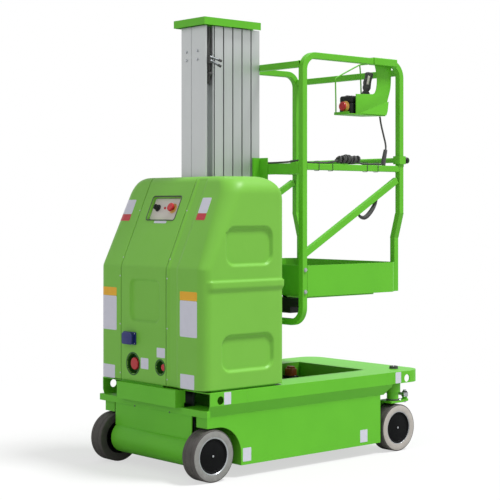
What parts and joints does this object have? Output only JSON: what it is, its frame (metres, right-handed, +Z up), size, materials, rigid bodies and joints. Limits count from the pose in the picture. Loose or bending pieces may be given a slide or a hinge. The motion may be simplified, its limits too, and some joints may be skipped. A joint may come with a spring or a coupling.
{
  "type": "vertical mast lift",
  "caption": "Compact self-propelled vertical mast lift with a telescopic aluminium mast, moulded covers, railed platform with joystick box and steered front wheels.",
  "frame": {"origin": "on the floor, under the middle of the machine's length and width", "axes": "+X forward, from the covers to the platform; +Y left; +Z up"},
  "size_m": [1.465, 0.804, 2.081],
  "materials": {
    "green_paint": "gloss",
    "green_cover": "gloss",
    "mast_alloy": "satin anodised",
    "tyre_rubber": "matt",
    "black_disc": "satin",
    "dark_steel": "satin",
    "black_plastic": "matt",
    "black_rubber": "matt",
    "zinc_steel": "zinc plated",
    "panel_grey": "matt",
    "blue_plastic": "satin",
    "red_plastic": "gloss"
  },
  "bodies": {
    "chassis": {"chassis_deck": "green_paint", "side_skirts": "green_paint", "battery_tray": "green_paint", "rear_panel": "green_paint", "axle_guard": "green_paint", "rear_axle": "dark_steel", "front_axle": "green_paint", "battery_pack": "black_plastic", "deck_buffer": "black_rubber", "cover_left": "green_cover", "cover_centre": "green_cover", "cover_right": "green_cover", "ground_panel": "panel_grey", "charger_inlet": "blue_plastic", "release_knobs": "red_plastic", "mast_1": "mast_alloy", "mast_hoses": "black_rubber"},
    "mast_2": {"mast_2": "mast_alloy"},
    "mast_3": {"mast_3": "mast_alloy"},
    "mast_4": {"mast_4": "mast_alloy"},
    "mast_5": {"mast_5": "mast_alloy"},
    "platform": {"mast_6": "mast_alloy", "mast_cap": "green_paint", "carriage": "green_paint", "hoop_left": "green_paint", "hoop_right": "green_paint", "platform_rails": "green_paint", "platform_floor": "dark_steel", "toe_boards": "green_paint", "buffer_beam": "black_plastic", "control_bracket": "green_paint", "control_box": "black_plastic", "control_cable": "black_rubber"},
    "gate": {"gate_bar": "green_paint"},
    "knuckle_left": {"knuckle_left": "green_paint"},
    "knuckle_right": {"knuckle_right": "green_paint"},
    "tie_rod": {"tie_rod": "zinc_steel"},
    "wheel_rear_left": {"tyre_rear_left": "tyre_rubber", "hub_rear_left": "black_disc"},
    "wheel_rear_right": {"tyre_rear_right": "tyre_rubber", "hub_rear_right": "black_disc"},
    "wheel_front_left": {"tyre_front_left": "tyre_rubber", "hub_front_left": "black_disc"},
    "wheel_front_right": {"tyre_front_right": "tyre_rubber", "hub_front_right": "black_disc"}
  },
  "joints": [
    {"name": "mast_2_slide", "type": "slide", "parent": "chassis", "child": "mast_2", "axis": [0, 0, 1], "range_m": [0, 1.1]},
    {"name": "mast_3_slide", "type": "slide", "parent": "mast_2", "child": "mast_3", "axis": [0, 0, 1], "range_m": [0, 1.1]},
    {"name": "mast_4_slide", "type": "slide", "parent": "mast_3", "child": "mast_4", "axis": [0, 0, 1], "range_m": [0, 1.1]},
    {"name": "mast_5_slide", "type": "slide", "parent": "mast_4", "child": "mast_5", "axis": [0, 0, 1], "range_m": [0, 1.1]},
    {"name": "platform_slide", "type": "slide", "parent": "mast_5", "child": "platform", "axis": [0, 0, 1], "range_m": [0, 1.1]},
    {"name": "gate_slide", "type": "slide", "parent": "platform", "child": "gate", "axis": [0, 0, 1], "range_m": [0, 0.36]},
    {"name": "steer_left", "type": "hinge", "parent": "chassis", "child": "knuckle_left", "pos_m": [0.5695, 0.346, 0.3], "axis": [0, 0, 1], "range_deg": [-60, 60]},
    {"name": "steer_right", "type": "hinge", "parent": "chassis", "child": "knuckle_right", "pos_m": [0.5695, -0.346, 0.3], "axis": [0, 0, 1], "range_deg": [-60, 60]},
    {"name": "tie_rod_pivot", "type": "hinge", "parent": "knuckle_left", "child": "tie_rod", "pos_m": [0.6575, 0.346, 0.269], "axis": [0, 0, 1], "range_deg": [-60, 60]},
    {"name": "spin_rear_left", "type": "hinge", "parent": "chassis", "child": "wheel_rear_left", "pos_m": [-0.6175, 0.346, 0.115], "axis": [0, 1, 0], "continuous": true},
    {"name": "spin_rear_right", "type": "hinge", "parent": "chassis", "child": "wheel_rear_right", "pos_m": [-0.6175, -0.346, 0.115], "axis": [0, 1, 0], "continuous": true},
    {"name": "spin_front_left", "type": "hinge", "parent": "knuckle_left", "child": "wheel_front_left", "pos_m": [0.5695, 0.346, 0.115], "axis": [0, 1, 0], "continuous": true},
    {"name": "spin_front_right", "type": "hinge", "parent": "knuckle_right", "child": "wheel_front_right", "pos_m": [0.5695, -0.346, 0.115], "axis": [0, 1, 0], "continuous": true}
  ],
  "couplings": [
    {"joint": "mast_3_slide", "follows": "mast_2_slide", "ratio": 1},
    {"joint": "mast_4_slide", "follows": "mast_2_slide", "ratio": 1},
    {"joint": "mast_5_slide", "follows": "mast_2_slide", "ratio": 1},
    {"joint": "platform_slide", "follows": "mast_2_slide", "ratio": 1},
    {"joint": "steer_right", "follows": "steer_left", "ratio": 1},
    {"joint": "tie_rod_pivot", "follows": "steer_left", "ratio": -1}
  ]
}
